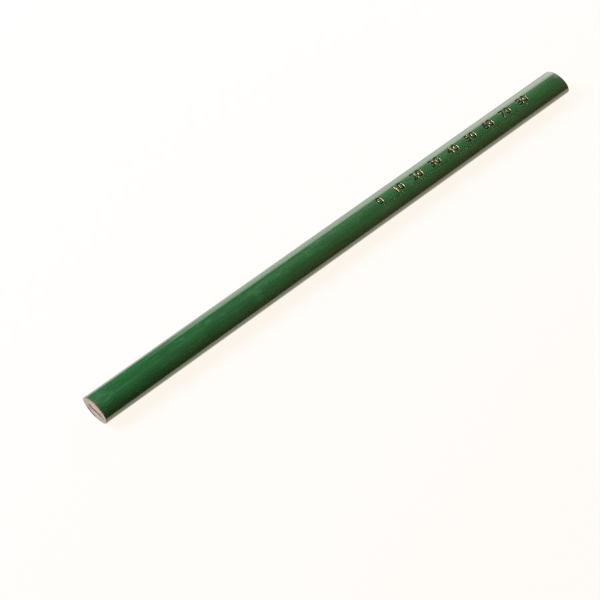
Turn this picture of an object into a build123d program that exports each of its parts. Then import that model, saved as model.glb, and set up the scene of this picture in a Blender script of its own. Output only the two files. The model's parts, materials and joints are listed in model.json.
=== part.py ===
from build123d import *
import os

# Oval graphite pencil for masons and carpenters, unsharpened, 240 mm long.
# Two grooved wooden slats are glued face to face around a flat graphite lead, planed to
# an oval and lacquered. The ends are sawn square after lacquering, so every layer shows.
#
# Frame: +X along the barrel towards the stamped end, +Y across its width, +Z up.
# The pencil lies on its broad side, and the origin is the middle of its lowest line.

# Barrel, outside the lacquer
barrel_length = 240.0
barrel_width = 13.2
barrel_thickness = 8.6
lacquer_thickness = 0.15

# Flat lead
lead_width = 6.4
lead_thickness = 1.4
lead_corner_radius = 0.3

# Glue between the slats, and all round the lead in its groove
glue_thickness = 0.06

# Wooden core, inside the lacquer
core_width = barrel_width - 2 * lacquer_thickness
core_thickness = barrel_thickness - 2 * lacquer_thickness

# Groove that the two slats form together, which holds the lead and its bedding of glue
groove_width = lead_width + 2 * glue_thickness
groove_height = lead_thickness + 2 * glue_thickness
groove_corner_radius = lead_corner_radius + glue_thickness

# Plane of every section: across the barrel, with its centre on the lead's axis
axis_height = barrel_thickness / 2
section_plane = Plane(origin=(0, 0, axis_height), x_dir=(0, 1, 0), z_dir=(1, 0, 0))


def oval(width, thickness):
    """Full oval section of the barrel, a true ellipse."""
    return Ellipse(width / 2, thickness / 2)


def half_core(side):
    """Half of the wooden core, above the mid-plane for side +1 and below it for side -1."""
    half_space = Pos(0, side * core_thickness / 2) * Rectangle(core_width, core_thickness)
    return oval(core_width, core_thickness) & half_space


def lead_section():
    """Flat bar with slightly rounded corners, as it is extruded and fired."""
    return RectangleRounded(lead_width, lead_thickness, lead_corner_radius)


def groove_section():
    """Hollow between the closed slats, one glue thickness larger than the lead all round."""
    return RectangleRounded(groove_width, groove_height, groove_corner_radius)


def seam_section():
    """Thin layer between the slats' mating faces, out to the lacquer on both sides."""
    return Rectangle(core_width, glue_thickness) & oval(core_width, core_thickness)


def full_length(section):
    """Section run along the whole barrel, from sawn end to sawn end."""
    return extrude(section_plane * section, amount=barrel_length / 2, both=True)


def slat(side):
    """One grooved wooden slat, half the oval with half the lead's groove along its flat face."""
    return full_length(half_core(side) - seam_section() - groove_section())


def graphite_lead():
    """Lead core, flush with the wood at both ends."""
    return full_length(lead_section())


def glue_film():
    """Glue as it sets: a film out to each side of the lead, joined by the lead's bedding."""
    return full_length(seam_section() + groove_section() - lead_section())


def lacquer_coat():
    """Coat of lacquer round the core, open at both sawn ends."""
    return full_length(oval(barrel_width, barrel_thickness) - oval(core_width, core_thickness))


parts = {
    "lower_slat": slat(-1),
    "upper_slat": slat(+1),
    "graphite_lead": graphite_lead(),
    "glue_film": glue_film(),
    "lacquer_coat": lacquer_coat(),
}

os.makedirs("parts", exist_ok=True)
for name, shape in parts.items():
    export_step(shape, f"parts/{name}.step")
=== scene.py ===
"""An oval graphite pencil on a pale floor: lacquered wood, flat lead, glue and a stamped scale."""

import json
import math
from functools import partial

import bpy
import numpy as np
from mathutils import Matrix, Vector
from mathutils.geometry import delaunay_2d_cdt
from mathutils.noise import noise

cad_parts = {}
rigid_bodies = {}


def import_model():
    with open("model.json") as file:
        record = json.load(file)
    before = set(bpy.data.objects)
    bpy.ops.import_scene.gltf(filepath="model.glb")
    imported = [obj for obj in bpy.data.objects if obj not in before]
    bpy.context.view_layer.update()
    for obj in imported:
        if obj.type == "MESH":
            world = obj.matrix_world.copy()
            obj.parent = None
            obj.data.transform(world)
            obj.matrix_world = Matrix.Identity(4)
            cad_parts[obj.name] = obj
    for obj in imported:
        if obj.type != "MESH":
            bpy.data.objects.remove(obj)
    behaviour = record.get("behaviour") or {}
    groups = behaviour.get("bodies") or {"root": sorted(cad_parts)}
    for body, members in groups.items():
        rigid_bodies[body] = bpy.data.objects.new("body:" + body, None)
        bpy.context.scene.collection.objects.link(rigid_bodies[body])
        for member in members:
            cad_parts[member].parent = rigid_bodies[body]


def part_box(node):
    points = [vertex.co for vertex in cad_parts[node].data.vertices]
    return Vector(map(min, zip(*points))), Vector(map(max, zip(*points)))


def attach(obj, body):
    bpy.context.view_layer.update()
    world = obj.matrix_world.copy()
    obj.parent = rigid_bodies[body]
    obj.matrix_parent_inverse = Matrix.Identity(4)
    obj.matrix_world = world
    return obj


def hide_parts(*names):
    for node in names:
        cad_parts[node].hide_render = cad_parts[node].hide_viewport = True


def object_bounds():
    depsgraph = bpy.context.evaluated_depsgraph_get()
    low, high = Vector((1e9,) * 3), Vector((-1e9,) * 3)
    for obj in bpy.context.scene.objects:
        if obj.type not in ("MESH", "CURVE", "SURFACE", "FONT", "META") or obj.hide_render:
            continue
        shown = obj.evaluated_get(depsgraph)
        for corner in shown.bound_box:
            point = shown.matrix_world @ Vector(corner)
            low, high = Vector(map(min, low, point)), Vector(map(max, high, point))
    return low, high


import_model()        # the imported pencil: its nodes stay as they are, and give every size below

bl_info = {
    "name": "Oval pencil",
    "version": (1, 0, 0),
    "blender": (4, 5, 0),
    "location": "3D View > Sidebar > Pencil",
    "description": "Builds the looks of an oval wooden pencil round its packed solids",
    "category": "Add Mesh",
}

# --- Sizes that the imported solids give, in metres ---

MM = 0.001
CAD_LOW, CAD_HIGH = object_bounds()
GLUE_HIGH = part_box("glue_film")[1]
LEAD_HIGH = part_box("graphite_lead")[1]
HALF_LENGTH = CAD_HIGH.x
HALF_WIDTH = CAD_HIGH.y
AXIS_HEIGHT = CAD_HIGH.z / 2


def linear(hex_colour):
    """Linear RGBA of an sRGB hex colour, such as "#286236"."""
    channels = [int(hex_colour[i:i + 2], 16) / 255 for i in (1, 3, 5)]
    return tuple(c / 12.92 if c <= 0.04045 else ((c + 0.055) / 1.055) ** 2.4
                 for c in channels) + (1.0,)


# --- What a user would change ---

def length_property(name, description, default):
    """A length in metres."""
    return bpy.props.FloatProperty(name=name, description=description, default=default,
                                   unit="LENGTH", precision=5)


def colour_property(name, description, hex_colour):
    """A linear colour whose default is given in sRGB."""
    return bpy.props.FloatVectorProperty(name=name, description=description, size=4, min=0.0,
                                         max=1.0, subtype="COLOR", default=linear(hex_colour))


class PencilSizes(bpy.types.PropertyGroup):
    """Sizes of the finished surfaces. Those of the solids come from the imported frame."""

    half_width: length_property("Half width", "Centre to the narrow side", HALF_WIDTH)
    half_thickness: length_property("Half thickness", "Centre to the broad side", AXIS_HEIGHT)
    lacquer: length_property("Lacquer", "Thickness of the coat", HALF_WIDTH - GLUE_HIGH.y)
    lead_half_width: length_property("Lead half width", "Centre to its narrow side", LEAD_HIGH.y)
    lead_half_thickness: length_property("Lead half thickness", "Centre to its broad side",
                                         LEAD_HIGH.z - AXIS_HEIGHT)
    lead_corner: length_property("Lead corner", "Radius of the lead's long edges", 0.3 * MM)
    glue: length_property("Glue", "Its thickness round the lead", GLUE_HIGH.z - LEAD_HIGH.z)
    ripple: length_property("Ripple", "Deepest unevenness of the lacquer", 0.012 * MM)
    stamp_depth: length_property("Stamp depth", "How deep the die sinks in", 0.12 * MM)
    stamp_slope: length_property("Stamp slope", "Width of the slope inside a mark", 0.13 * MM)
    stamp_shoulder: length_property("Stamp shoulder", "Width of the rounding outside a mark",
                                    0.04 * MM)
    scale_start: length_property("Scale start", "Place of its zero along the barrel", 18.5 * MM)
    scale_pitch: length_property("Scale pitch", "Distance between two ticks", 1.0 * MM)
    scale_base: length_property("Scale base", "Place of the ticks' feet across the barrel",
                                -3.3 * MM)
    tick_width: length_property("Tick width", "Width of a tick", 0.42 * MM)
    tick_short: length_property("Short tick", "Length of a millimetre tick", 0.6 * MM)
    tick_middle: length_property("Middle tick", "Length of a half-centimetre tick", 0.85 * MM)
    tick_long: length_property("Long tick", "Length of a centimetre tick", 1.1 * MM)
    number_height: length_property("Number height", "Height of the scale's numbers", 3.8 * MM)
    number_weight: length_property("Number weight", "How much each stroke is widened, to a side",
                                   0.15 * MM)
    number_base: length_property("Number base", "Place of the numbers' feet across the barrel",
                                 -1.95 * MM)
    centimetres: bpy.props.IntProperty(name="Centimetres", description="Length of the scale",
                                       default=8, min=1)


class PencilColours(bpy.types.PropertyGroup):
    """Colours of the finished surfaces."""

    lacquer: colour_property("Lacquer", "Bottle green of the coat", "#286539")
    lacquer_deep: colour_property("Deep lacquer", "The coat where it is thickest", "#1d5029")
    lacquer_scuffed: colour_property("Scuffed lacquer", "The coat where it is rubbed", "#3f7d58")
    # By the sawn ends the coat is dulled, and painted paler on its lit +Y side (painted light) and
    # dark brown on its shaded -Y side (painted shade).
    lacquer_worn: colour_property("Worn lacquer", "The coat by its sawn edges, dulled", "#8a8078")
    lacquer_grimy: colour_property("Shadowed lacquer", "The same, on its darkened side", "#5a4f3c")
    lacquer_cut: colour_property("Cut lacquer", "The coat's sawn edge", "#45402e")
    wood_light: colour_property("Light wood", "Early wood of the slats", "#aea9a0")
    wood_dark: colour_property("Dark wood", "Late wood and pores of the slats", "#7d6c62")
    wood_blush: colour_property("Blushed wood", "The wood round the lead, dyed pink", "#d3bab7")
    wood_stain: colour_property("Wood stain", "Blot of reddish dye at the lead's end", "#98494c")
    # painted contact shadow on the writing end's lower rim, where it meets the floor
    wood_grime: colour_property("Rim_shade", "Shading on the writing end's lower rim", "#2c2522")
    graphite: colour_property("Graphite", "Fired graphite and clay", "#544b49")
    # lighter grey where the saw polished the lead: a painted sheen
    graphite_rubbed: colour_property("Rubbed graphite", "Where the saw polished it", "#857b76")
    glue: colour_property("Glue", "Dried white glue", "#b3a48f")
    glue_dusty: colour_property("Dusty glue", "Glue with wood dust and graphite in it", "#82746a")
    foil: colour_property("Foil", "Gold-coloured stamping foil", "#9a8e68")
    # The two below paint each dent's floor darker, a painted shade; the burnt colour also shows
    # where the foil broke.
    foil_tarnished: colour_property("Dimmed foil", "Foil on each dent's floor", "#54431f")
    foil_burnt: colour_property("Burnt lacquer", "Where the hot die broke the foil", "#1b150a")
    floor: colour_property("Floor", "Pale table top", "#fffcf9")
    floor_bounce: colour_property("Floor's bounce", "The same, as it lights the pencil", "#cfc6b4")


# --- Small helpers ---

# A Map Range node's inputs are a value, the ends of its range, and what those are turned into,
# which is 0 and 1 where it isn't given. SMOOTH lets it ease in and out.
SMOOTH = {"interpolation_type": "SMOOTHSTEP"}
RGBA = {"data_type": "RGBA"}            # for a Mix node of two colours, its sockets 6 and 7


def sizes():
    return bpy.context.scene.pencil_sizes


def colours():
    return bpy.context.scene.pencil_colours


def add_node(tree, kind, inputs=(), stops=(), **settings):
    """Adds a node. kind is its type, where ShaderNode may be left out. inputs are values for its
    first sockets, or a dict of sockets and values: each a constant, an output that feeds it, or a
    node whose first live output does. stops are a colour ramp's places and colours, and settings
    are the node's own properties."""
    node = tree.nodes.new(kind if "Node" in kind else "ShaderNode" + kind)
    for name, value in settings.items():
        setattr(node, name, value)
    for i, (place, colour) in enumerate(stops):
        ramp = node.color_ramp.elements
        element = ramp[i] if i < 2 else ramp.new(place)
        element.position, element.color = place, colour
    for socket, value in inputs.items() if isinstance(inputs, dict) else enumerate(inputs):
        if isinstance(value, bpy.types.Node):
            value = next(output for output in value.outputs if output.enabled)
        if isinstance(value, bpy.types.NodeSocket):
            tree.links.new(value, node.inputs[socket])
        else:
            node.inputs[socket].default_value = value
    return node


def new_object(name, vertices, faces):
    """A mesh object at the origin. Faces are lists of vertex numbers."""
    mesh = bpy.data.meshes.new(name)
    mesh.from_pydata([tuple(v) for v in vertices], [], [tuple(int(i) for i in f) for f in faces])
    mesh.update()
    obj = bpy.data.objects.new(name, mesh)
    bpy.context.scene.collection.objects.link(obj)
    return obj


def smooth(obj):
    """Shades a piece smooth, apart from its sharp edges."""
    obj.data.shade_smooth()
    obj.data.set_sharp_from_angle(angle=math.radians(40))


def dress(obj, material, slot, *nodes):
    """Gives a finished piece its material, hides the imported parts that it stands for, and lets it
    ride on the pencil. Its slot argument is not used."""
    obj.data.materials.clear()
    obj.data.materials.append(material)
    if nodes:
        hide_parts(*nodes)
    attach(obj, "root")


# --- Plane geometry, in millimetres ---

REACH = 1.0                 # how far round a loop distances from it are worked out


def resample(points, step):
    """Points along an open line, no further apart than step, with the line's own points kept."""
    out = []
    for a, b in zip(points[:-1], points[1:]):
        count = max(1, math.ceil(np.hypot(*(b - a)) / step))
        out += [a + (b - a) * i / count for i in range(count)]
    return out + [points[-1]]


def arc(centre, radii, start, end, step):
    """Points on an arc of an ellipse, angles in radians."""
    count = max(2, math.ceil(abs(end - start) * max(radii) / step))
    return [np.array([centre[0] + radii[0] * math.cos(t), centre[1] + radii[1] * math.sin(t)])
            for t in np.linspace(start, end, count + 1)]


def closed(points, step):
    """A loop of points no further apart than step, without a doubled last point."""
    points = resample(list(points) + [points[0]], step)
    return np.array([a for a, b in zip(points[:-1], points[1:]) if np.hypot(*(b - a)) > 1e-6])


def rounded_rectangle(half_width, half_height, radius, step):
    """Counter-clockwise loop."""
    points = []
    for sign_y, sign_z, quarter in ((1, 1, 0), (-1, 1, 1), (-1, -1, 2), (1, -1, 3)):
        centre = (sign_y * (half_width - radius), sign_z * (half_height - radius))
        start, end = quarter * math.pi / 2, (quarter + 1) * math.pi / 2
        points += arc(centre, (radius, radius), start, end, step)
    return closed(points, step)


def offset_loop(loop, distance):
    """The loop moved to the right of its direction by distance, with mitred corners. That is
    outwards for an outline, which runs counter-clockwise."""
    ahead = np.roll(loop, -1, 0) - loop
    ahead /= np.linalg.norm(ahead, axis=1)[:, None]
    normal = np.stack([ahead[:, 1], -ahead[:, 0]], 1)
    mitre = normal + np.roll(normal, 1, 0)
    mitre /= np.maximum(np.sum(mitre * normal, 1), 0.5)[:, None]     # no longer on a sharp corner
    return loop + distance * mitre


def inside(points, loops):
    """Even-odd test of points against closed loops."""
    result = np.zeros(len(points), bool)
    for loop in loops:
        for (ay, az), (by, bz) in zip(loop, np.roll(loop, -1, 0)):
            if az != bz:
                crosses = (points[:, 1] < max(az, bz)) & (points[:, 1] >= min(az, bz))
                edge = ay + (points[:, 1] - az) * (by - ay) / (bz - az)
                result ^= crosses & (points[:, 0] < edge)
    return result


def signed_distance(points, loops):
    """Distance of points from closed loops, up to REACH: above zero inside them, and below zero
    outside."""
    corners = np.concatenate(loops)
    low, high = corners.min(0) - REACH, corners.max(0) + REACH
    close = np.all((points > low) & (points < high), axis=1)
    near = points[close]
    nearest = np.full(len(near), REACH)
    for loop in loops:
        for a, b in zip(loop, np.roll(loop, -1, 0)):
            share = np.clip((near - a) @ (b - a) / np.dot(b - a, b - a), 0, 1)
            away = near - a - share[:, None] * (b - a)
            nearest = np.minimum(nearest, np.linalg.norm(away, axis=1))
    result = np.full(len(points), -REACH)
    result[close] = np.where(inside(near, loops), nearest, -nearest)
    return result


def triangulate(free, loops):
    """Triangles, all counter-clockwise, over free points and closed loops. Also gives the vertex
    numbers of the free points, and then of each loop."""
    coords, edges, spans = [Vector(p) for p in free], [], [range(len(free))]
    for loop in loops:
        span = range(len(coords), len(coords) + len(loop))
        coords += [Vector(p) for p in loop]
        edges += [(span[i - 1], span[i]) for i in range(len(loop))]
        spans.append(span)
    verts, _, faces, origins, _, _ = delaunay_2d_cdt(coords, edges, [], 0, 1e-5)
    where = {old: new for new, olds in enumerate(origins) for old in olds}
    numbers = [[where[i] for i in span] for span in spans]
    points = np.array([tuple(v) for v in verts])
    triangles = np.array([tuple(f) for f in faces])
    a, b, c = (points[triangles[:, i]] for i in range(3))
    ab, ac = b - a, c - a
    turned = ab[:, 0] * ac[:, 1] < ab[:, 1] * ac[:, 0]
    triangles[turned] = triangles[turned][:, ::-1]
    return points, triangles, numbers


def grid_points(low, high, step):
    """Points of an even triangular grid between two corners."""
    rows = np.arange(low[1], high[1], step * math.sqrt(3) / 2)
    columns = np.arange(low[0], high[0], step)
    return np.array([(x + (n % 2) * step / 2, y) for n, y in enumerate(rows) for x in columns])


def filled(loops, step):
    """Even triangles inside closed loops: the first counter-clockwise, its holes clockwise."""
    corners = np.concatenate(loops)
    grid = grid_points(corners.min(0) + step / 2, corners.max(0), step)
    grid = grid[signed_distance(grid, loops) > 0.55 * step]      # clear of the loops' own points
    points, triangles, numbers = triangulate(grid, loops)
    return points, triangles[inside(points[triangles].mean(1), loops)], numbers[1:]


# --- Surfaces that the saw leaves, in millimetres ---

SAW_PITCH = 0.55            # between the arcs that the saw's teeth leave
SAW_DEPTH = 0.010           # of those arcs
SAW_CENTRE = (60.0, 35.0)   # the blade's axis, aside of and above the pencil
RING_WIDTH = 1.15           # one year's growth
WOOD_DEPTH, LEAD_DEPTH, GLUE_DEPTH = 0.004, 0.020, 0.022    # at least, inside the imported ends
SLAT_STEP, LEAD_STEP, GLUE_STEP = 0.16, 0.12, 0.1           # between points of a sawn end
OUTLINE_STEP = 0.1                                          # along the lead's and the glue's sides
BAR_STATIONS = 5                                            # lines across each bar's sides
GLUE_FINS_IN = 0.002        # how far the glue's fins stop inside the coat


def rough(y, z, per_mm, seed, octaves=3):
    """Noise between about -1 and 1, with so many of its largest features to a millimetre."""
    total, size = 0.0, 1.0
    for _ in range(octaves):
        total += size * noise(Vector((y * per_mm, z * per_mm, seed)))
        per_mm, seed, size = per_mm * 2, seed * 2, size / 2
    return total / 1.75


def saw_marks(y, z, end):
    """Depth of the shallow arcs that a circular saw leaves on a cut end."""
    radius = math.hypot(y + SAW_CENTRE[0] * end, z - SAW_CENTRE[1])
    wobble = 0.15 * rough(y, z, 0.8, 3.1 + end)
    return SAW_DEPTH * (0.5 + 0.5 * math.sin(2 * math.pi * (radius / SAW_PITCH + wobble)))


def wood_relief(pith, y, z, end):
    """Depth of a sawn wood end: saw marks, proud late wood and torn pores. pith is the middle of
    the tree's rings."""
    wander = 0.35 * rough(y, z, 0.35, 1.7)
    ring = math.hypot(y - pith[0], z - pith[1]) / RING_WIDTH + wander
    sunken = 0.010 * (0.5 - 0.5 * math.sin(2 * math.pi * ring))
    torn = 0.07 * max(0.0, rough(y, z, 5.5, 8.3 * end, 2) - 0.25)
    return WOOD_DEPTH + saw_marks(y, z, end) + sunken + torn


def lead_relief(y, z, end):
    """Depth of the lead's sawn end: a little lower than the wood, with chips along its edges."""
    size = sizes()
    from_edge = min(size.lead_half_width / MM - abs(y), size.lead_half_thickness / MM - abs(z))
    broken = 0.08 * max(0.0, rough(y, z, 2.1, 6.0 * end) + 0.1)
    chips = broken * max(0.0, 1 - from_edge / 0.3)
    grains = 0.008 * abs(rough(y, z, 4, end))
    return LEAD_DEPTH + saw_marks(y, z, end) + chips + grains


def glue_relief(y, z, end):
    """Depth of the glue's sawn end: it shrinks a little below the wood."""
    return GLUE_DEPTH + 0.012 * abs(rough(y, z, 1.5, 4.0 * end))


def prism(name, loops, step, relief):
    """A closed bar of constant section along X, with both ends in relief. Its section is in
    millimetres round the axis."""
    points, triangles, numbers = filled(loops, step)
    half = HALF_LENGTH / MM
    stations = np.linspace(1 - half, half - 1, BAR_STATIONS)
    vertices, faces = [], []
    for end in (-1, 1):
        base = len(vertices)
        vertices += [(end * (half - relief(y, z, end)), y, z) for y, z in points]
        order = triangles if end > 0 else triangles[:, ::-1]
        faces += [[base + i for i in t] for t in order]
    for loop in numbers:
        rings = [loop]
        for x in stations:
            rings.append(range(len(vertices), len(vertices) + len(loop)))
            vertices += [(x, *points[i]) for i in loop]
        rings.append([len(points) + i for i in loop])
        for low, high in zip(rings[:-1], rings[1:]):
            faces += [[low[i - 1], low[i], high[i], high[i - 1]] for i in range(len(loop))]
    obj = new_object(name, np.array(vertices) * MM + np.array([0, 0, AXIS_HEIGHT]), faces)
    smooth(obj)
    return obj


def lead_loop():
    """Counter-clockwise section of the lead."""
    size = sizes()
    return rounded_rectangle(size.lead_half_width / MM, size.lead_half_thickness / MM,
                             size.lead_corner / MM, OUTLINE_STEP)


def groove(step):
    """One slat's half of the groove for the lead and its glue, from +Y to -Y: a flat bed with
    rounded corners. Also gives how far the slats' flat faces stay from the mid-plane."""
    size = sizes()
    half_width = (size.lead_half_width + size.glue) / MM
    depth = (size.lead_half_thickness + size.glue) / MM
    corner = (size.lead_corner + size.glue) / MM
    face = size.glue / MM / 2
    radii, quarter = (corner, corner), math.pi / 2
    points = [np.array([half_width, face])]
    points += arc((half_width - corner, depth - corner), radii, 0, quarter, step)
    points += arc((-half_width + corner, depth - corner), radii, quarter, 2 * quarter, step)
    return points + [np.array([-half_width, face])], face


def slat_loop(side):
    """Counter-clockwise section of one slat: half the oval, with half of the lead's groove in its
    flat face. side is +1 for the upper slat and -1 for the lower one."""
    size = sizes()
    half_width = (size.half_width - size.lacquer) / MM
    half_thickness = (size.half_thickness - size.lacquer) / MM
    bed, face = groove(SLAT_STEP)
    tilt = math.asin(face / half_thickness)
    back = arc((0, 0), (half_width, half_thickness), tilt, math.pi - tilt, SLAT_STEP)
    loop = closed(back + bed[::-1], SLAT_STEP)
    return loop if side > 0 else -loop


def glue_loops():
    """Sections of the glue: its outline with a fin out to each side, and the lead's hole."""
    size = sizes()
    bed, face = groove(OUTLINE_STEP)
    side = (size.half_width - size.lacquer) / MM - GLUE_FINS_IN
    above = [np.array([side, face])] + bed + [np.array([-side, face])]
    return [closed(above + [-p for p in above], OUTLINE_STEP), lead_loop()[::-1]]


# --- The lacquer coat and its stamped scale ---
# Lengths are in millimetres.

STATIONS_AROUND = 240       # points on each line across the barrel
ANGLES = np.arange(STATIONS_AROUND) * 2 * math.pi / STATIONS_AROUND
STATION_PITCH = 1.25        # along the barrel, away from its ends
# from the end, where lines are closer:
END_STATIONS = (5.0, 3.6, 2.6, 1.8, 1.2, 0.8, 0.5, 0.34, 0.22, 0.13, 0.06, 0.02, 0.0)
INNER_STATIONS = 17         # along the coat's inner side
SKIN = 0.014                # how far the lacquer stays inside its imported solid, so that foil fits
RIM_ROUNDING = (0.26, 0.08)             # how far along and into the coat its sawn corner is worn
RIM_REACH = 3.0                         # how far from a sawn end its ragged edge bends the lines
WAVES = (16.0, 5.0, 5.0)                # lengths of the coat's ripple along X, Y and Z
FOIL_TOP, FOIL_UNDERSIDE = 0.010, 0.001                 # over the lacquer
MARKS = {"scale_ticks": 1, "scale_numbers": 2}          # what the coat's faces under them carry
TICK_STEP, NUMBER_STEP = 0.15, 0.2                      # between points of a mark's outline
NUMBER_SPACING, NUMBER_RESOLUTION = 1.12, 9             # of the font: letter spacing and curves
# The patch is the window in the coat's upper side that is meshed round the marks.
PATCH_COLUMNS = (STATIONS_AROUND // 4 - 24, STATIONS_AROUND // 4 + 24)  # its sides, about the crown
PATCH_ENDS = 2.5            # how far it reaches past the marks along X
PATCH_MARGIN = 0.5          # the least that it may reach past them on any side
PATCH_STEP = 0.42           # between its points, away from the marks
MARK_CLEARANCE = 0.1        # between a mark's slopes and those points


def new_tree(name, sockets):
    """An empty Geometry Nodes tree, the function that adds nodes to it, and its inputs. sockets
    has the inputs' names under their kinds."""
    tree = bpy.data.node_groups.new(name, "GeometryNodeTree")
    tree.is_modifier = True
    for kind, names in sockets.items():
        for socket in names:
            tree.interface.new_socket(socket, in_out="INPUT", socket_type="NodeSocket" + kind)
    tree.interface.new_socket("Geometry", in_out="OUTPUT", socket_type="NodeSocketGeometry")
    add = partial(add_node, tree)
    return tree, add, add("NodeGroupInput").outputs


def scale_ticks_tree():
    """Geometry Nodes: a row of flat ticks, longer at every fifth and tenth."""
    tree, add, given = new_tree("Scale_ticks", {
        "Float": ("Pitch", "Width", "Short", "Middle", "Long", "Start", "Base"),
        "Int": ("Count",),
        "Material": ("Foil",)})
    index = add("GeometryNodeInputIndex")
    length = given["Short"]
    for every, longer in ((5, given["Middle"]), (10, given["Long"])):
        left = add("Math", [index, every], operation="MODULO")
        whole = add("FunctionNodeCompare", {2: left, 3: 0}, data_type="INT", operation="EQUAL")
        length = add("GeometryNodeSwitch", [whole, length, longer], input_type="FLOAT")
    along = add("Math", [index, given["Pitch"], given["Start"]], operation="MULTIPLY_ADD")
    middle = add("Math", [length, 0.5, given["Base"]], operation="MULTIPLY_ADD")
    points = add("GeometryNodeMeshLine", {"Count": given["Count"]})
    place = add("CombineXYZ", [along, middle])
    placed = add("GeometryNodeSetPosition", {"Geometry": points, "Position": place})
    bar = add("GeometryNodeMeshGrid", {
        "Size X": 1.0, "Size Y": 1.0, "Vertices X": 2, "Vertices Y": 2})
    ticks = add("GeometryNodeInstanceOnPoints", {
        "Points": placed, "Instance": bar,
        "Scale": add("CombineXYZ", [given["Width"], length, 1.0])})
    real = add("GeometryNodeRealizeInstances", {"Geometry": ticks})
    foiled = add("GeometryNodeSetMaterial", {"Geometry": real, "Material": given["Foil"]})
    add("NodeGroupOutput", {"Geometry": foiled})
    return tree


def oval_roll_tree():
    """Geometry Nodes: rolls a flat sheet (x, angle, depth below the surface) onto the oval, with
    the coat's ripple."""
    tree, add, given = new_tree("Oval_roll", {
        "Geometry": ("Geometry",),
        "Float": ("Half Width", "Half Thickness", "Axis Height", "Ripple"),
        "Material": ("Lacquer",)})
    flat = add("SeparateXYZ", [add("GeometryNodeInputPosition")]).outputs
    cosine = add("Math", [flat[1]], operation="COSINE")
    sine = add("Math", [flat[1]], operation="SINE")
    across = add("Math", [cosine, given["Half Width"]], operation="MULTIPLY")
    up = add("Math", [sine, given["Half Thickness"], given["Axis Height"]],
             operation="MULTIPLY_ADD")
    surface = add("CombineXYZ", [flat[0], across, up])
    normal_y = add("Math", [cosine, given["Half Thickness"]], operation="MULTIPLY")
    normal_z = add("Math", [sine, given["Half Width"]], operation="MULTIPLY")
    normal = add("CombineXYZ", [0.0, normal_y, normal_z])
    outwards = add("VectorMath", [normal], operation="NORMALIZE")
    per_wave = [1 / (length * MM) for length in WAVES]
    stretched = add("VectorMath", [surface, per_wave], operation="MULTIPLY")
    waves = add("TexNoise", {"Vector": stretched, "Scale": 1.0, "Detail": 1.0})
    depth = add("Math", [waves, given["Ripple"], flat[2]], operation="MULTIPLY_ADD")
    inwards = add("Math", [depth, -1.0], operation="MULTIPLY")
    sunk = add("VectorMath", {0: outwards, "Scale": inwards}, operation="SCALE")
    place = add("VectorMath", [surface, sunk], operation="ADD")
    rolled = add("GeometryNodeSetPosition", {"Geometry": given["Geometry"], "Position": place})
    real = add("GeometryNodeRealizeInstances", {"Geometry": rolled})
    dressed = add("GeometryNodeSetMaterial", {"Geometry": real, "Material": given["Lacquer"]})
    add("NodeGroupOutput", {"Geometry": dressed})
    return tree


def apply_tree(obj, tree, **values):
    """Runs a Geometry Nodes tree on obj with its inputs set by identifier, and keeps the result as
    a plain mesh."""
    modifier = obj.modifiers.new(tree.name, "NODES")
    modifier.node_group = tree
    identifiers = {item.name: item.identifier for item in tree.interface.items_tree
                   if item.in_out == "INPUT"}
    for name, value in values.items():
        modifier[identifiers[name.replace("_", " ")]] = value
    graph = bpy.context.evaluated_depsgraph_get()
    mesh = bpy.data.meshes.new_from_object(obj.evaluated_get(graph),
                                           preserve_all_data_layers=True, depsgraph=graph)
    obj.modifiers.clear()
    obj.data = mesh
    mesh.name = obj.name


def tick_loops(material):
    """Outlines of the scale's ticks, in millimetres, as the Geometry Nodes tree lays them out."""
    size = sizes()
    obj = new_object("tick_layout", [], [])
    apply_tree(obj, scale_ticks_tree(), Pitch=size.scale_pitch, Count=size.centimetres * 10 + 1,
               Width=size.tick_width, Short=size.tick_short, Middle=size.tick_middle,
               Long=size.tick_long, Start=size.scale_start, Base=size.scale_base, Foil=material)
    mesh = obj.data
    loops = [np.array([mesh.vertices[i].co[:2] for i in face.vertices]) / MM
             for face in mesh.polygons]
    bpy.data.objects.remove(obj)
    bpy.data.meshes.remove(mesh)
    return [[closed(loop, TICK_STEP)] for loop in loops]


def font_outlines(text):
    """Closed outlines of a text in the plain font, in its own units, centred along X."""
    curve = bpy.data.curves.new("number", "FONT")
    curve.body = text
    curve.align_x = "CENTER"
    curve.space_character = NUMBER_SPACING
    curve.fill_mode = "NONE"
    curve.resolution_u = NUMBER_RESOLUTION
    obj = bpy.data.objects.new("number", curve)
    bpy.context.scene.collection.objects.link(obj)
    graph = bpy.context.evaluated_depsgraph_get()
    mesh = bpy.data.meshes.new_from_object(obj.evaluated_get(graph), depsgraph=graph)
    points = np.array([v.co[:2] for v in mesh.vertices])
    after = {i: [] for i in range(len(points))}
    for edge in mesh.edges:
        a, b = edge.vertices
        after[a].append(b)
        after[b].append(a)
    outlines, seen = [], set()
    for first in after:
        chain, here = [], first
        while here is not None and here not in seen:
            seen.add(here)
            chain.append(here)
            here = next((n for n in after[here] if n not in seen), None)
        if chain:
            outlines.append(points[chain])
    for data, store in ((obj, bpy.data.objects), (mesh, bpy.data.meshes), (curve, bpy.data.curves)):
        store.remove(data)
    return outlines


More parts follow.
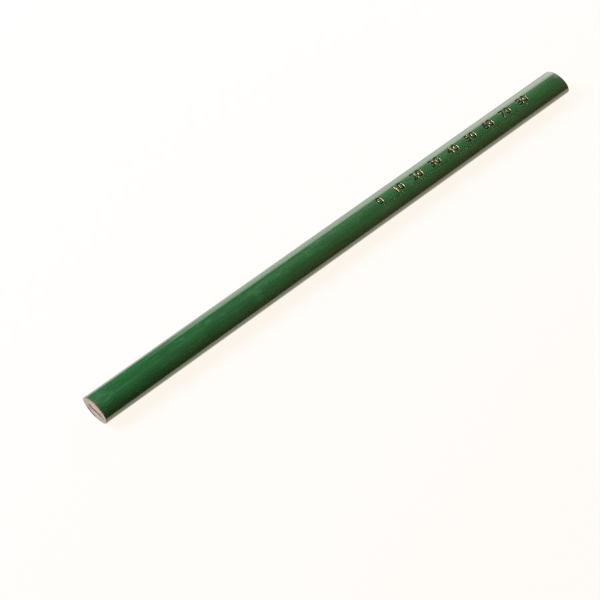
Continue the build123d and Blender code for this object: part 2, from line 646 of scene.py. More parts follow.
def number_loops(number, centre):
    """Outlines of one plain number, in millimetres: outer loops counter-clockwise, holes
    clockwise."""
    size = sizes()
    weight, base = size.number_weight / MM, size.number_base / MM
    outlines = font_outlines(str(number))
    low, high = min(o[:, 1].min() for o in outlines), max(o[:, 1].max() for o in outlines)
    factor = (size.number_height / MM - 2 * weight) / (high - low)
    loops = []
    for n, loop in enumerate(outlines):
        others = [other for m, other in enumerate(outlines) if m != n]
        hole = bool(others) and bool(inside(loop[:1], others)[0])
        ahead = np.roll(loop, -1, 0)
        counter_clockwise = np.sum(loop[:, 0] * ahead[:, 1] - ahead[:, 0] * loop[:, 1]) > 0
        if counter_clockwise == hole:
            loop = loop[::-1]
        loops.append(closed((loop - [0, low]) * factor + [centre, base + weight], NUMBER_STEP))
    widened = []
    for loop in loops:
        moved = offset_loop(loop, weight)
        clear = signed_distance(moved, loops) < 0.005 - weight  # a narrow bend would fold the line
        widened.append(closed(moved[clear], NUMBER_STEP))
    return widened


def stamped_marks(material):
    """Outlines of every stamped mark: (kind, loops)."""
    size = sizes()
    marks = [(MARKS["scale_ticks"], loops) for loops in tick_loops(material)]
    for number in range(size.centimetres + 1):
        centre = (size.scale_start + number * 10 * size.scale_pitch) / MM
        marks.append((MARKS["scale_numbers"], number_loops(10 * number, centre)))
    return marks


def barrel_stations():
    """Places of the lines across the barrel, along X."""
    half = HALF_LENGTH / MM
    inner = half - END_STATIONS[0]
    middle = np.linspace(-inner, inner, round(2 * inner / STATION_PITCH) + 1)
    ends = [half - s for s in END_STATIONS[1:]]
    return np.array([-x for x in reversed(ends)] + list(middle) + ends)


def end_wear(x, angle):
    """How far the coat's edge draws back from a sawn end at this angle, and how far its worn
    corner sinks."""
    end = 1 if x > 0 else -1
    gap = HALF_LENGTH / MM - abs(x)
    y, z = HALF_WIDTH / MM * math.cos(angle), AXIS_HEIGHT / MM * math.sin(angle)
    ragged = 0.012 + 0.03 * abs(rough(y, z, 2.2, 5.0 * end))
    ragged += 0.015 * abs(noise(Vector((y * 9, z * 9, end))))
    chip = 0.9 * max(0.0, noise(Vector((y * 0.9 + 3.7 * end, z * 0.9, 2.0))) - 0.42)
    share = max(0.0, 1 - gap / RIM_REACH) ** 2
    along, into = RIM_ROUNDING
    sunk = into * (1 - math.sqrt(1 - max(0.0, 1 - gap / along) ** 2))
    return -end * (ragged + chip) * share, sunk


class CoatSheet:
    """The coat before it is rolled up: points (x, angle, depth), and faces that may carry a stamped
    mark."""

    def __init__(self):
        self.points, self.dents, self.faces, self.marks = [], [], [], []

    def add_point(self, x, angle, depth, dent=0.0):
        """Adds a point and gives its number."""
        self.points.append((x * MM, angle, depth * MM))
        self.dents.append(dent)
        return len(self.points) - 1

    def add_face(self, corners, mark=0):
        self.faces.append(corners)
        self.marks.append(mark)

    def add_band(self, low, high):
        """Faces between two rings of points, which look outwards where high lies further along +X
        than low."""
        for j in range(STATIONS_AROUND):
            corners = [low[j - 1], low[j], high[j], high[j - 1]]
            if None not in corners:
                self.add_face(corners)


def points_round_marks(marks, low, high):
    """Points that follow the slopes of every mark, and an even grid between them."""
    size = sizes()
    slope, shoulder = size.stamp_slope / MM, size.stamp_shoulder / MM
    grid = grid_points(low + PATCH_STEP / 2, high - PATCH_STEP / 2, PATCH_STEP)
    rounds = []
    for _, loops in marks:
        for inwards in (-shoulder, slope / 2, slope):
            line = np.concatenate([offset_loop(loop, -inwards) for loop in loops])
            rounds.append(line[abs(signed_distance(line, loops) - inwards) < 0.01])
        distance = signed_distance(grid, loops)
        grid = grid[(distance < -shoulder - MARK_CLEARANCE) | (distance > slope + MARK_CLEARANCE)]
    return np.concatenate([grid] + rounds)


def stamp(points, triangles, marks):
    """How far the die sinks each point, from 0 to 1, and which mark each triangle carries."""
    size = sizes()
    slope, shoulder = size.stamp_slope / MM, size.stamp_shoulder / MM
    middles = points[triangles].mean(1)
    dents, kinds = np.zeros(len(points)), np.zeros(len(triangles), int)
    for kind, loops in marks:
        share = np.clip((signed_distance(points, loops) + shoulder) / (slope + shoulder), 0, 1)
        dents = np.maximum(dents, share * share * (3 - 2 * share))
        kinds[signed_distance(middles, loops) > 0] = kind
    return dents, kinds


def add_stamped_patch(sheet, marks, xs, rings, first, last):
    """Fills the window in the coat's outer side with triangles that follow every mark and sink
    inside it. They are laid out flat, as seen from above."""
    half_width, depth = sizes().half_width / MM, sizes().stamp_depth / MM
    left, right = PATCH_COLUMNS
    rim = [(i, j) for i in range(first, last + 1) for j in range(left, right + 1)
           if i in (first, last) or j in (left, right)]
    rim_points = np.array([(xs[i], half_width * math.cos(ANGLES[j])) for i, j in rim])
    low, high = rim_points.min(0), rim_points.max(0)
    outlines = [loop for _, loops in marks for loop in loops]
    corners = np.concatenate(outlines)
    if np.any(corners.min(0) < low + PATCH_MARGIN) or np.any(corners.max(0) > high - PATCH_MARGIN):
        raise ValueError("The stamped scale doesn't fit on the barrel's crown")
    free = np.concatenate([rim_points, points_round_marks(marks, low, high)])
    points, triangles, numbers = triangulate(free, outlines)
    dents, kinds = stamp(points, triangles, marks)
    place = {n: rings[i][j] for n, (i, j) in zip(numbers[0], rim)}
    for n, (x, y) in enumerate(points):
        if n not in place:
            angle = math.acos(y / half_width)
            place[n] = sheet.add_point(x, angle, SKIN + depth * dents[n], dents[n])
    for triangle, kind in zip(triangles, kinds):
        sheet.add_face([place[n] for n in triangle], kind)


def coat_sheet(marks):
    """The whole coat as one closed sheet: its outer side with the stamped patch, its sawn rims,
    and its inner side against the wood."""
    sheet = CoatSheet()
    xs = barrel_stations()
    corners = np.concatenate([loop for _, loops in marks for loop in loops])
    first = np.searchsorted(xs, corners[:, 0].min() - PATCH_ENDS) - 1
    last = np.searchsorted(xs, corners[:, 0].max() + PATCH_ENDS)
    left, right = PATCH_COLUMNS
    rings = []
    for i, x in enumerate(xs):
        ring = []
        for j, angle in enumerate(ANGLES):
            in_window = first < i < last and left < j < right
            shift, sunk = end_wear(x, angle)
            ring.append(None if in_window else sheet.add_point(x + shift, angle, SKIN + sunk))
        rings.append(ring)
    add_stamped_patch(sheet, marks, xs, rings, first, last)
    thickness = sizes().lacquer / MM
    for x in np.linspace(xs[-1], xs[0], INNER_STATIONS):
        rings.append([sheet.add_point(x + end_wear(x, angle)[0], angle, thickness)
                      for angle in ANGLES])
    for low, high in zip(rings, rings[1:] + rings[:1]):
        sheet.add_band(low, high)
    return sheet


def foil_piece(name, coat, kind):
    """A thin closed sheet of foil over the coat's faces that carry one kind of mark."""
    size = sizes()
    mesh = coat.data
    marks, dents = (mesh.attributes[name].data for name in ("mark", "dent"))
    triangles = [tuple(face.vertices) for face, mark in zip(mesh.polygons, marks)
                 if mark.value == kind]
    used = sorted({i for t in triangles for i in t})
    local = {i: n for n, i in enumerate(used)}
    count = len(used)
    base = np.array([mesh.vertices[i].co[:] for i in used])
    outwards = np.stack([np.zeros(count), base[:, 1] / size.half_width ** 2,
                         (base[:, 2] - AXIS_HEIGHT) / size.half_thickness ** 2], 1)
    outwards *= MM / np.linalg.norm(outwards, axis=1)[:, None]
    points = np.concatenate([base + outwards * FOIL_TOP, base + outwards * FOIL_UNDERSIDE])
    faces, edges = [], set()
    for t in triangles:
        a, b, c = (local[i] for i in t)
        faces += [[a, b, c], [count + c, count + b, count + a]]
        edges |= {(a, b), (b, c), (c, a)}
    faces += [[b, a, count + a, count + b] for a, b in sorted(edges) if (b, a) not in edges]
    obj = new_object(name, points, faces)
    dent = obj.data.attributes.new("dent", "FLOAT", "POINT")
    dent.data.foreach_set("value", np.tile([dents[i].value for i in used], 2))
    smooth(obj)
    return obj


# --- Materials ---

def new_material(name):
    """An empty node material, and the function that adds nodes to it."""
    material = bpy.data.materials.get(name) or bpy.data.materials.new(name)
    material.use_nodes = True
    material.node_tree.nodes.clear()
    return material, partial(add_node, material.node_tree)


def sized_coords(add, lengths, shift=(0.0, 0.0, 0.0)):
    """Coordinates that grow by one every lengths[i] millimetres along X, Y and Z of the pencil."""
    return add("Mapping", {"Vector": add("TexCoord").outputs["Object"], "Location": shift,
                           "Scale": [1 / (length * MM) for length in lengths]})


def sized_noise(add, lengths, detail=2.0, roughness=0.5, shift=(0.0, 0.0, 0.0)):
    """Noise, 0.5 on average, whose largest features are lengths[i] millimetres long along X, Y and
    Z of the pencil."""
    return add("TexNoise", {"Vector": sized_coords(add, lengths, shift), "Scale": 1.0,
                            "Detail": detail, "Roughness": roughness})


LACQUER_INDEX = 1.75                # refractive: 1.5 for clear lacquer, raised to match its gloss
HANDLED = (-112 * MM, -90 * MM)     # along X, the stretch where the writing end's rubbing fades
LIT_AND_RUBBED_SIDE = (-2.6 * MM, 0.2 * MM)   # across Y, from the shaded side, painted darker by the ends, to the lit side, painted paler there and rubbed most
WEAR_REACH = 2.6 * MM               # how far from its sawn ends the coat is dulled
WEAR_SHIFT = 1.0 * MM               # by how much more at the stamped end, and less at the other
CUT_EDGE = (-0.25 * MM, 0.15 * MM)  # past the end, where the coat turns into its sawn edge


def barrel_colour(add, along, lit_and_rubbed_side, grit):
    """The coat's colour between its ends, and how much of it is rubbed dull."""
    colour = colours()
    runs = sized_noise(add, (16, 4, 4), 4.0, 0.6)
    streaks = sized_noise(add, (70, 0.7, 0.7), 3.0, 0.6)
    build = add("Mix", {0: 0.5, 2: runs, 3: streaks})
    body = add("ValToRGB", [build], ((0.38, colour.lacquer), (0.68, colour.lacquer_deep)))
    handled = add("MapRange", [along, *HANDLED, 0.10, 0.0], **SMOOTH)
    patches = sized_noise(add, (7, 2.5, 2.5), 5.0, 0.65, (4.0, 7.0, 1.0))
    rubs = add("Math", [handled, lit_and_rubbed_side, patches], operation="MULTIPLY_ADD")
    rubbed = add("MapRange", [rubs, 0.52, 0.78, 0.0, 0.5], **SMOOTH)
    body = add("Mix", {0: rubbed, 6: body, 7: colour.lacquer_scuffed}, **RGBA)
    speckle = add("MapRange", [grit, 0.3, 0.7, 0.95, 1.05])
    return add("HueSaturation", {"Value": speckle, "Color": body}), rubbed


def colour_at_ends(add, body, along, lit_and_rubbed_side, grit):
    """The coat's colour with its ends dulled and its cut edges browned, and where those are cut. By
    the ends it is painted paler on the lit side and darker on the shaded side: painted light and
    shade.
    """
    colour = colours()
    shifted = add("Math", [along, WEAR_SHIFT], operation="ADD")
    off_centre = add("Math", [shifted], operation="ABSOLUTE")
    worn = add("MapRange", [off_centre, HALF_LENGTH - WEAR_REACH, HALF_LENGTH + WEAR_SHIFT,
                            0.0, 0.42], **SMOOTH)
    # painted light and shade by the sawn ends: paler on the lit +Y side, dark brown on the shaded
    # -Y side
    dulled = add("Mix", {0: lit_and_rubbed_side, 6: colour.lacquer_grimy, 7: colour.lacquer_worn}, **RGBA)
    body = add("Mix", {0: worn, 6: body, 7: dulled}, **RGBA)
    from_middle = add("Math", [along], operation="ABSOLUTE")
    frayed = add("Math", [grit, 0.5 * MM, from_middle], operation="MULTIPLY_ADD")
    cut = add("MapRange", [frayed] + [HALF_LENGTH + past for past in CUT_EDGE], **SMOOTH)
    browned = add("Math", [cut, 0.8], operation="MULTIPLY")
    return add("Mix", {0: browned, 6: body, 7: colour.lacquer_cut}, **RGBA), cut


def lacquer_material():
    """Nitrocellulose lacquer, drawn on in several coats through a rubber die: deep gloss over a
    pigmented coat, with lengthwise streaks from the die, faint orange peel, and dull rubbed
    patches, most of them by the writing end. The peel is about 1 mm wide, and the die's lines about
    half that. Beside its sawn ends the coat is dulled, and painted paler on its lit side, a painted
    light, and dark brown on its shaded side, a painted shade. The saw left its cut edges brown and
    matt."""
    material, add = new_material("Die_drawn_nitrocellulose_lacquer")
    along, across, _ = add("SeparateXYZ", [add("TexCoord").outputs["Object"]]).outputs
    lit_and_rubbed_side = add("MapRange", [across, *LIT_AND_RUBBED_SIDE, 0.2, 1.0], **SMOOTH)
    grit = sized_noise(add, (0.5, 0.5, 0.5), 2.0, 0.7)
    body, rubbed = barrel_colour(add, along, lit_and_rubbed_side, grit)
    body, cut = colour_at_ends(add, body, along, lit_and_rubbed_side, grit)
    peel = sized_noise(add, (1.2, 0.8, 0.8), 1.0)
    drawn = sized_noise(add, (40, 0.45, 0.45), 2.0)
    height = add("Mix", {0: 0.5, 2: peel, 3: drawn})
    uneven = add("Bump", {"Height": height, "Distance": 0.006 * MM})
    dull = add("MapRange", [rubbed, 0.0, 0.6, 0.20, 0.40])
    shader = add("BsdfPrincipled", {
        "Base Color": body,
        "Roughness": add("Math", [cut, 0.3, dull], operation="MULTIPLY_ADD"),
        "IOR": LACQUER_INDEX,
        "Normal": uneven,
        "Coat Weight": add("MapRange", {0: cut, 3: 1.0, 4: 0.2}),
        "Coat Roughness": 0.04,
        "Coat IOR": LACQUER_INDEX,
        "Coat Normal": uneven,
    })
    add("OutputMaterial", {"Surface": shader})
    return material


# Spots on the writing end: centre and radii, across and up from the axis, in millimetres
BLUSH = ((-0.6, 0.6), (4.4, 3.2))           # dye that spread in the wood round the lead
DYE_BLOT = ((2.4, 0.6), (1.3, 1.5))         # its reddest part, over one end of the lead
SMUDGE = ((-3.6, -0.1), (1.1, 0.9))         # graphite that the saw dragged past the other end


def spot_mask(add, spot, most):
    """How strong an uneven spot on the writing end is, up to most."""
    (across, up), radii = spot
    shift = (HALF_LENGTH / MM, -across / radii[0], -(up + AXIS_HEIGHT / MM) / radii[1])
    reach = add("VectorMath", [sized_coords(add, (1, *radii), shift)], operation="LENGTH")
    blots = sized_noise(add, (1, 0.35, 0.35), 3.0, 0.7)
    uneven = add("Math", [blots, 0.9, reach], operation="MULTIPLY_ADD")
    return add("MapRange", [uneven, 0.8, 1.5, most, 0.0], **SMOOTH)


def rim_grime(add):
    """How much painted contact shadow darkens the lower rim of the writing end: ragged, thickest a
    little to one side, and thinner to both. Places are shares of the oval's half sizes."""
    size = sizes()
    across, up = size.half_width / MM, size.half_thickness / MM
    shift = (HALF_LENGTH / MM, 0.0, -AXIS_HEIGHT / MM / up)
    from_axis = sized_coords(add, (1, across, up), shift)
    place = add("SeparateXYZ", [from_axis]).outputs
    from_thickest = add("Math", [place[1], 0.4], operation="SUBTRACT")
    aside = add("Math", [from_thickest], operation="ABSOLUTE")
    thinner = add("MapRange", [aside, 0.2, 0.55, 0.0, 0.34])
    reach = add("VectorMath", [from_axis], operation="LENGTH")
    reach = add("Math", [reach, thinner], operation="SUBTRACT")
    blots = sized_noise(add, (1, 0.5, 0.3), 5.0, 0.75)
    ragged = add("Math", [blots, 0.7, reach], operation="MULTIPLY_ADD")
    rim = add("MapRange", [ragged, 1.02, 1.24], **SMOOTH)
    low = add("MapRange", [place[2], -0.2, 0.0, 0.92, 0.0])
    writing_end = add("MapRange", [place[0], 1.0, 2.0, 1.0, 0.0])
    there = add("Math", [low, writing_end], operation="MULTIPLY")
    return add("Math", [rim, there], operation="MULTIPLY")


SLATS = {           # the side, the pith in millimetres across and up from the axis, and a seed
    "lower_slat": (-1, (11.0, -16.0), 3.0),
    "upper_slat": (1, (-9.0, 21.0), 8.0),
}
RAY_WIDTH, RAY_LENGTH = 0.14, 2.4           # millimetres, where the rays pass the pencil's axis
PORE_SPACING = 0.24                         # millimetres


def wood_grain(add, pith, seed):
    """How much of the way the wood is from light to dark, and the height of its torn surface."""
    from_pith = sized_coords(add, (50, 1, 1), (0.0, -pith[0], -pith[1] - AXIS_HEIGHT / MM))
    reach = add("VectorMath", [from_pith], operation="LENGTH")
    years = add("Math", [reach, RING_WIDTH], operation="DIVIDE")
    waves = sized_noise(add, (60, 3, 3), 2.0, 0.5, (seed, seed, 0.0))
    wander = add("Math", [waves, 1.4, years], operation="MULTIPLY_ADD")
    year = add("Math", [wander], operation="FRACT")
    black, white = (0, 0, 0, 1), (1, 1, 1, 1)
    late = add("ValToRGB", [year], ((0.45, black), (0.93, white), (1.0, black)))
    place = add("SeparateXYZ", [from_pith]).outputs
    turn = add("Math", [place[2], place[1]], operation="ARCTAN2")
    round_pith = add("Math", [turn, math.hypot(*pith) / RAY_WIDTH], operation="MULTIPLY")
    outwards = add("Math", [reach, RAY_LENGTH], operation="DIVIDE")
    rays = add("TexNoise", {"Vector": add("CombineXYZ", [round_pith, outwards, seed]),
                            "Scale": 1.0, "Detail": 2.0, "Roughness": 0.6})
    cells = add("TexVoronoi", {"Vector": sized_coords(add, (9, PORE_SPACING, PORE_SPACING)),
                               "Scale": 1.0, "Randomness": 0.9})
    pore = add("MapRange", [cells, 0.12, 0.34, 1.0, 0.0], **SMOOTH)
    fuzz = sized_noise(add, (3, 0.3, 0.3), 5.0, 0.75, (0.0, seed, 0.0))
    dust = sized_noise(add, (5, 2.6, 0.16), 4.0, 0.65, (seed, 0.0, 0.0))
    patches = sized_noise(add, (30, 2.4, 2.4), 2.0, 0.5, (0.0, seed, seed))
    shade = 0.0
    for pattern, low, high, least, most in ((late, 0.0, 1.0, 0.0, 0.30),
                                            (rays, 0.35, 0.65, 0.0, 0.16),
                                            (pore, 0.0, 1.0, 0.0, 0.14),
                                            (fuzz, 0.35, 0.65, -0.07, 0.10),
                                            (dust, 0.35, 0.65, -0.10, 0.16),
                                            (patches, 0.35, 0.65, -0.1, 0.2)):
        part = add("MapRange", [pattern, low, high, least, most])
        shade = add("Math", [part, shade], operation="ADD")
    return shade, add("Math", [pore, -0.8, fuzz], operation="MULTIPLY_ADD")


def slat_material(name, pith, seed):
    """Limewood, sawn across and dyed a little pink, as pencil slats are: pale early wood and thin
    darker late wood in rings about the tree's pith, fine rays across them, and pores that show as
    dots on the cut. Real pores are about 0.07 mm wide, and are drawn at about twice that, so that
    they show. The saw left streaks of dust, and a painted contact shadow darkens the lower rim."""
    material, add = new_material(name)
    colour = colours()
    shade, torn = wood_grain(add, pith, seed)
    body = add("Mix", {0: shade, 6: colour.wood_light, 7: colour.wood_dark}, **RGBA)
    dyed = add("Mix", {0: shade, 6: colour.wood_blush, 7: colour.wood_dark}, **RGBA)
    for mask, over in ((spot_mask(add, BLUSH, 0.85), dyed),
                       (spot_mask(add, DYE_BLOT, 0.9), colour.wood_stain),
                       (spot_mask(add, SMUDGE, 0.75), colour.graphite),
                       # painted contact shadow on the lower rim, where the end meets the floor
                       (rim_grime(add), colour.wood_grime)):
        body = add("Mix", {0: mask, 6: body, 7: over}, **RGBA)
    shader = add("BsdfPrincipled", {
        "Base Color": body,
        "Roughness": add("MapRange", {0: shade, 3: 0.72, 4: 0.86}),
        "Specular IOR Level": 0.3,
        "Normal": add("Bump", {"Height": torn, "Distance": 0.03 * MM}),
    })
    add("OutputMaterial", {"Surface": shader})
    return material


def graphite_material():
    """Fired graphite and clay: near black, smoother where a saw or thumb polished it and painted a
    lighter grey there, a painted sheen, with the slats' dye over one end. Its real grains are about
    0.02 mm wide, and are drawn at 0.1 to 0.3 mm, so that they show."""
    material, add = new_material("Fired_graphite_and_clay")
    colour = colours()
    grains = sized_noise(add, (0.3, 0.3, 0.12), 4.0, 0.7)
    drag = sized_noise(add, (2, 0.6, 0.12), 3.0, 0.6)
    smear = add("MapRange", [drag, 0.4, 0.7], **SMOOTH)
    sheen = add("Math", [smear, 0.35], operation="MULTIPLY")
    # painted sheen: a lighter grey where the lead is polished
    body = add("Mix", {0: sheen, 6: colour.graphite, 7: colour.graphite_rubbed}, **RGBA)
    dye = spot_mask(add, DYE_BLOT, 0.8)
    body = add("Mix", {0: dye, 6: body, 7: colour.wood_stain}, **RGBA)
    shader = add("BsdfPrincipled", {
        "Base Color": body,
        "Metallic": 0.25,
        "Roughness": add("MapRange", {0: smear, 3: 0.5, 4: 0.34}),
        "Normal": add("Bump", {"Height": grains, "Distance": 0.02 * MM}),
    })
    add("OutputMaterial", {"Surface": shader})
    return material


def glue_material():
    """White wood glue, pressed out thin and dried: a waxy line, yellowed and dusted by the saw. The
    dust is drawn in specks of 0.2 mm, about twice the real ones, so that they show."""
    material, add = new_material("Dried_white_wood_glue")
    colour = colours()
    dust = sized_noise(add, (0.4, 0.2, 0.2), 3.0, 0.7)
    body = add("ValToRGB", [dust], ((0.35, colour.glue), (0.65, colour.glue_dusty)))
    shader = add("BsdfPrincipled", {
        "Base Color": body,
        "Roughness": 0.45,
        "Normal": add("Bump", {"Height": dust, "Distance": 0.02 * MM}),
    })
    add("OutputMaterial", {"Surface": shader})
    return material


def foil_material():
    """Gold-coloured stamping foil, pressed in hot: a mirror-thin metal layer that stays bright on
    the slopes of each dent. Each dent's floor is painted darker, a painted shade, and the foil is
    broken down to the burnt lacquer, most of all on that floor."""
    material, add = new_material("Hot_stamped_gold_foil")
    colour = colours()
    dent = add("Attribute", attribute_name="dent").outputs["Fac"]
    # each dent's floor, painted darker: a painted shade
    floor = add("MapRange", [dent, 0.6, 0.97], **SMOOTH)
    cracks = sized_noise(add, (0.22, 0.22, 0.22), 4.0, 0.7)
    worn = add("Math", [floor, 0.13, cracks], operation="MULTIPLY_ADD")
    holes = add("MapRange", [worn, 0.505, 0.585], **SMOOTH)
    # painted shade: darker foil on each dent's floor
    floor_shaded_tone = add("Mix", {0: floor, 6: colour.foil, 7: colour.foil_tarnished}, **RGBA)
    body = add("Mix", {0: holes, 6: floor_shaded_tone, 7: colour.foil_burnt}, **RGBA)
    creases = sized_noise(add, (0.3, 0.3, 0.3), 2.0, 0.6)
    shader = add("BsdfPrincipled", {
        "Base Color": body,
        "Metallic": add("MapRange", {0: holes, 3: 1.0, 4: 0.0}),
        "Roughness": add("MapRange", {0: holes, 3: 0.34, 4: 0.5}),
        "Specular IOR Level": 0.25,
        "Normal": add("Bump", {"Height": creases, "Distance": 0.010 * MM}),
    })
    add("OutputMaterial", {"Surface": shader})
    return material


# --- Stage, in metres ---

CAMERA_TURN = math.radians(41.44)       # the camera's heading, from the pencil's +Y towards its +X
CAMERA_FALL = math.radians(49.45)       # how far it looks down
CAMERA_ROLL = math.radians(-1.99)
CAMERA_DISTANCE = 0.6239
CAMERA_LENS, CAMERA_SENSOR = 101.77, 36.0       # millimetres
AIM = (-0.0321, -0.0098, 0.0)           # the point of the floor in the middle of its view

FLOOR_REACH = 6.0                       # from the pencil to the floor's sides
FLOOR_LIT = (0.2, 0.6)                  # from the pencil, where its shadow fades out
FLOOR_SHADOW = (0.03, 0.07, 0.13)       # the share of red, green and blue that a full shadow takes
FLOOR_SHEEN = ("#fff5de", "#eee9e6")    # as gloss shows it: warm on the -Y side, neutral on the +Y
SHEEN_SLANT = 0.3                       # gloss shows the floor beyond a line that slants by this
SHEEN_START = (-0.087, -0.052)          # and crosses Y here, where the floor fades in
CARD_LEFT, CARD_RIGHT, CARD_AWAY, CARD_HEIGHT = 0.08, 2.4, 0.5, 2.4
CARD_RISE = 0.28                        # how steeply the lit part's top edge rises to the right
CARD_COLOURS = ("#fff5f3", "#ffdfd6")   # painted light: of the glowing card, and of the wall that glows faintly above it
WINDOW = {"place": (-0.72, 0.66, 0.70), "aim": (0.0, 0.0, 0.0), "size": 0.6, "power": 21.5}
FILL = {"place": (0.36, 0.26, 0.34), "aim": (0.1, 0.0, 0.0), "size": 0.3, "power": 1.3}
ROOM_LIGHT = ("#ffce8e", 0.15)          # colour and strength of the room, as it lights the table
ROOM_GLOSS = ("#ffcb98", 0.035, 0.15)   # the same as gloss shows it, to the left and to the right
ROOM_TURN = (0.34, 0.47)                # the heading's X, between the left and the right
CEILING = (0.6, 0.9, 1.0, 0.68)         # the heading's Z from wall to ceiling, and their strengths


def seen_directly(add, light_path):
    """One for rays from the camera, also through clear things, and zero for all others."""
    rays = [light_path["Is Camera Ray"], light_path["Is Transmission Ray"]]
    return add("Math", rays, operation="MAXIMUM")


def floor_material():
    """Matt white laminate. Cameras see it near its full white, with faint shadows. Reflections see
    the far side neutral, and the near side warm, as in a room."""
    material, add = new_material("Matt_white_laminate")
    light_path = add("LightPath").outputs
    place = add("TexCoord").outputs["Object"]
    along, across, _ = add("SeparateXYZ", [place]).outputs
    distance = add("VectorMath", [place], operation="LENGTH")
    away = add("MapRange", [distance, *FLOOR_LIT], **SMOOTH)
    white = colours().floor
    bounce = add("BsdfDiffuse", {"Color": colours().floor_bounce})
    shaded = [white[i] * FLOOR_SHADOW[i] for i in range(3)]
    glow = add("Emission", {"Color": [white[i] - shaded[i] for i in range(3)] + [1.0]})
    shadow = add("BsdfDiffuse", {"Color": shaded + [1.0]})
    side = add("MapRange", [across, -0.004, 0.004], **SMOOTH)
    near, far = (linear(colour) for colour in FLOOR_SHEEN)
    tint = add("Mix", {0: side, 6: near, 7: far}, **RGBA)
    slanted = add("Math", [along, SHEEN_SLANT, across], operation="MULTIPLY_ADD")
    reach = add("MapRange", [slanted, *SHEEN_START], **SMOOTH)
    sheen = add("Emission", {"Color": tint, "Strength": reach})
    close_by = add("AddShader", [shadow, glow])
    shown = add("MixShader", [away, close_by, add("Emission", {"Color": white})])
    mixed = add("MixShader", [seen_directly(add, light_path), bounce, shown])
    mixed = add("MixShader", [light_path["Is Glossy Ray"], mixed, sheen])
    add("OutputMaterial", {"Surface": mixed})
    return material


def card_material():
    """A white card that glows with painted window light, with a soft left edge and a soft top edge
    that rises to the right. Above it, a painted glow of the room's pale wall shows faintly."""
    material, add = new_material("White_card")
    x, _, z = add("SeparateXYZ", [add("TexCoord").outputs["Object"]]).outputs
    height = add("Math", [x, -CARD_RISE, z], operation="MULTIPLY_ADD")
    top, left, strength, wall, wall_top = (
        add("MapRange", [value, *ramp], **SMOOTH) for value, *ramp in (
            (height, 0.15, 0.27, 1.0, 0.0), (x, 0.085, 0.16, 0.0, 1.0), (x, 0.1, 0.6, 1.1, 1.5),
            (x, 0.2, 0.42, 0.0, 0.22), (z, 0.4, 1.2, 1.0, 0.4)))
    card = add("Math", [top, left], operation="MULTIPLY")
    card = add("Math", [card, strength], operation="MULTIPLY")
    wall = add("Math", [wall, wall_top], operation="MULTIPLY")
    # painted window light on the card, and a painted glow of the wall above it
    lit, haze = (add("Emission", {"Color": linear(colour), "Strength": power})
                 for colour, power in zip(CARD_COLOURS, (card, wall)))
    add("OutputMaterial", {"Surface": add("AddShader", [lit, haze])})
    return material


def add_sheet(name, corners, material):
    """A flat sheet between four corners."""
    sheet = new_object(name, corners, [[0, 1, 2, 3]])
    sheet.data.materials.append(material)
    return sheet


def add_soft_box(name, place, aim, size, power):
    """A square soft box at place, facing aim, of so many watts."""
    light = bpy.data.lights.new(name, "AREA")
    light.shape = "SQUARE"
    light.size = size
    light.energy = power
    obj = bpy.data.objects.new(name, light)
    bpy.context.scene.collection.objects.link(obj)
    obj.location = place
    obj.rotation_euler = (Vector(aim) - Vector(place)).to_track_quat("-Z", "Y").to_euler()
    return obj


def make_world():
    """A dim warm room with a darker ceiling, white where the camera looks past the floor."""
    world = bpy.data.worlds.new("Studio")
    bpy.context.scene.world = world
    world.use_nodes = True
    world.node_tree.nodes.clear()
    add = partial(add_node, world.node_tree)
    light_path = add("LightPath").outputs
    heading = add("SeparateXYZ", [add("TexCoord").outputs["Generated"]]).outputs
    gloss_colour, *gloss_strengths = ROOM_GLOSS
    wall = add("MapRange", [heading[0], *ROOM_TURN, *gloss_strengths])
    ceiling = add("MapRange", [heading[2], *CEILING], **SMOOTH)
    wall = add("Math", [wall, ceiling], operation="MULTIPLY")
    room = add("Background", {"Color": linear(ROOM_LIGHT[0]), "Strength": ROOM_LIGHT[1]})
    gloss = add("Background", {"Color": linear(gloss_colour), "Strength": wall})
    white = add("Background", {"Color": colours().floor})
    lit = add("MixShader", [light_path["Is Glossy Ray"], room, gloss])
    seen = add("MixShader", [seen_directly(add, light_path), lit, white])
    add("OutputWorld", {"Surface": seen})


def make_camera():
    """The camera, from its heading, fall and roll round the point that it aims at."""
    turn, fall, roll = CAMERA_TURN, CAMERA_FALL, CAMERA_ROLL
    flat = math.cos(fall)
    forward = Vector((math.sin(turn) * flat, math.cos(turn) * flat, -math.sin(fall)))
    level = Vector((math.cos(turn), -math.sin(turn), 0.0))
    upright = level.cross(forward)
    right = level * math.cos(roll) + upright * math.sin(roll)
    up = upright * math.cos(roll) - level * math.sin(roll)
    data = bpy.data.cameras.new("Camera")
    data.lens, data.sensor_width = CAMERA_LENS, CAMERA_SENSOR
    data.clip_start, data.clip_end = 0.01, 20.0
    camera = bpy.data.objects.new("Camera", data)
    bpy.context.scene.collection.objects.link(camera)
    place = Vector(AIM) - forward * CAMERA_DISTANCE
    camera.matrix_world = Matrix((
        (right.x, up.x, -forward.x, place.x),
        (right.y, up.y, -forward.y, place.y),
        (right.z, up.z, -forward.z, place.z),
        (0.0, 0.0, 0.0, 1.0)))
    bpy.context.scene.camera = camera


# --- Operators ---

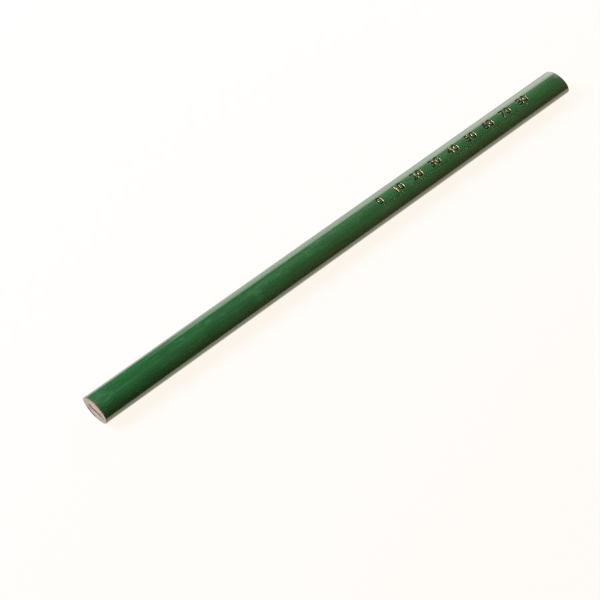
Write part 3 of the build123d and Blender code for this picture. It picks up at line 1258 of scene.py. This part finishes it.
class AddCoat(bpy.types.Operator):
    """Adds the coat of lacquer, with the dents of the stamped scale and both worn sawn edges."""
    bl_idname = "pencil.add_coat"
    bl_label = "Lacquer coat"

    def execute(self, context):
        size = sizes()
        sheet = coat_sheet(stamped_marks(foil_material()))
        coat = new_object("lacquer_skin", sheet.points, sheet.faces)
        mark = coat.data.attributes.new("mark", "INT", "FACE")
        mark.data.foreach_set("value", np.array(sheet.marks, np.int32))
        dent = coat.data.attributes.new("dent", "FLOAT", "POINT")
        dent.data.foreach_set("value", np.array(sheet.dents))
        lacquer = lacquer_material()
        apply_tree(coat, oval_roll_tree(), Half_Width=size.half_width,
                   Half_Thickness=size.half_thickness, Axis_Height=AXIS_HEIGHT,
                   Ripple=size.ripple, Lacquer=lacquer)
        smooth(coat)
        dress(coat, lacquer, "green_lacquer", "lacquer_coat")
        return {"FINISHED"}


class AddScale(bpy.types.Operator):
    """Adds the foil of the stamped scale: its ticks and its plain numbers."""
    bl_idname = "pencil.add_scale"
    bl_label = "Foil scale"

    def execute(self, context):
        coat = bpy.data.objects.get("lacquer_skin")
        if coat is None:
            raise RuntimeError("The foil lies on the lacquer coat: add that first")
        foil = foil_material()
        for name, kind in MARKS.items():
            dress(foil_piece(name, coat, kind), foil, "stamping_foil")
        return {"FINISHED"}


class AddSlats(bpy.types.Operator):
    """Adds the two grooved wooden slats, with sawn end grain."""
    bl_idname = "pencil.add_slats"
    bl_label = "Wooden slats"

    def execute(self, context):
        for node, (side, pith, seed) in SLATS.items():
            relief = partial(wood_relief, pith)
            slat = prism(node + "_wood", [slat_loop(side)], SLAT_STEP, relief)
            dress(slat, slat_material("Sawn_limewood_" + node, pith, seed), "slat_wood", node)
        return {"FINISHED"}


class AddLead(bpy.types.Operator):
    """Adds the flat graphite lead, sawn off with the wood."""
    bl_idname = "pencil.add_lead"
    bl_label = "Graphite lead"

    def execute(self, context):
        lead = prism("lead_bar", [lead_loop()], LEAD_STEP, lead_relief)
        dress(lead, graphite_material(), "graphite", "graphite_lead")
        return {"FINISHED"}


class AddGlue(bpy.types.Operator):
    """Adds the glue between the slats and round the lead."""
    bl_idname = "pencil.add_glue"
    bl_label = "Glue"

    def execute(self, context):
        glue = prism("glue_line", glue_loops(), GLUE_STEP, glue_relief)
        dress(glue, glue_material(), "wood_glue", "glue_film")
        return {"FINISHED"}


class AddStage(bpy.types.Operator):
    """Adds the pale floor, the white card, the soft light, the room and the camera."""
    bl_idname = "pencil.add_stage"
    bl_label = "Stage"

    def execute(self, context):
        square = ((-1, -1), (1, -1), (1, 1), (-1, 1))
        floor = add_sheet("floor", [(x * FLOOR_REACH, y * FLOOR_REACH, 0) for x, y in square],
                          floor_material())
        upright = ((CARD_LEFT, 0), (CARD_RIGHT, 0), (CARD_RIGHT, CARD_HEIGHT),
                   (CARD_LEFT, CARD_HEIGHT))
        card = add_sheet("card", [(x, CARD_AWAY, z) for x, z in upright], card_material())
        card.visible_camera = False
        add_soft_box("window", **WINDOW)
        add_soft_box("fill", **FILL).visible_glossy = False
        make_world()
        make_camera()
        context.scene.view_settings.view_transform = "Standard"
        return {"FINISHED"}


class PencilPanel(bpy.types.Panel):
    """Lists the pencil's operators and settings in the sidebar."""
    bl_idname = "VIEW3D_PT_pencil"
    bl_label = "Oval pencil"
    bl_space_type = "VIEW_3D"
    bl_region_type = "UI"
    bl_category = "Pencil"

    def draw(self, context):
        for operator in OPERATORS:
            self.layout.operator(operator.bl_idname)
        for settings in (context.scene.pencil_sizes, context.scene.pencil_colours):
            for name in settings.__annotations__:
                self.layout.prop(settings, name)


OPERATORS = (AddCoat, AddScale, AddSlats, AddLead, AddGlue, AddStage)
CLASSES = (PencilSizes, PencilColours) + OPERATORS + (PencilPanel,)


def register():
    for cls in CLASSES:
        bpy.utils.register_class(cls)
    bpy.types.Scene.pencil_sizes = bpy.props.PointerProperty(type=PencilSizes)
    bpy.types.Scene.pencil_colours = bpy.props.PointerProperty(type=PencilColours)


def unregister():
    del bpy.types.Scene.pencil_colours
    del bpy.types.Scene.pencil_sizes
    for cls in reversed(CLASSES):
        bpy.utils.unregister_class(cls)


def main():
    """Makes the whole pencil."""
    register()
    bpy.ops.pencil.add_coat()
    bpy.ops.pencil.add_scale()
    bpy.ops.pencil.add_slats()
    bpy.ops.pencil.add_lead()
    bpy.ops.pencil.add_glue()
    bpy.ops.pencil.add_stage()


if __name__ == "__main__":
    main()
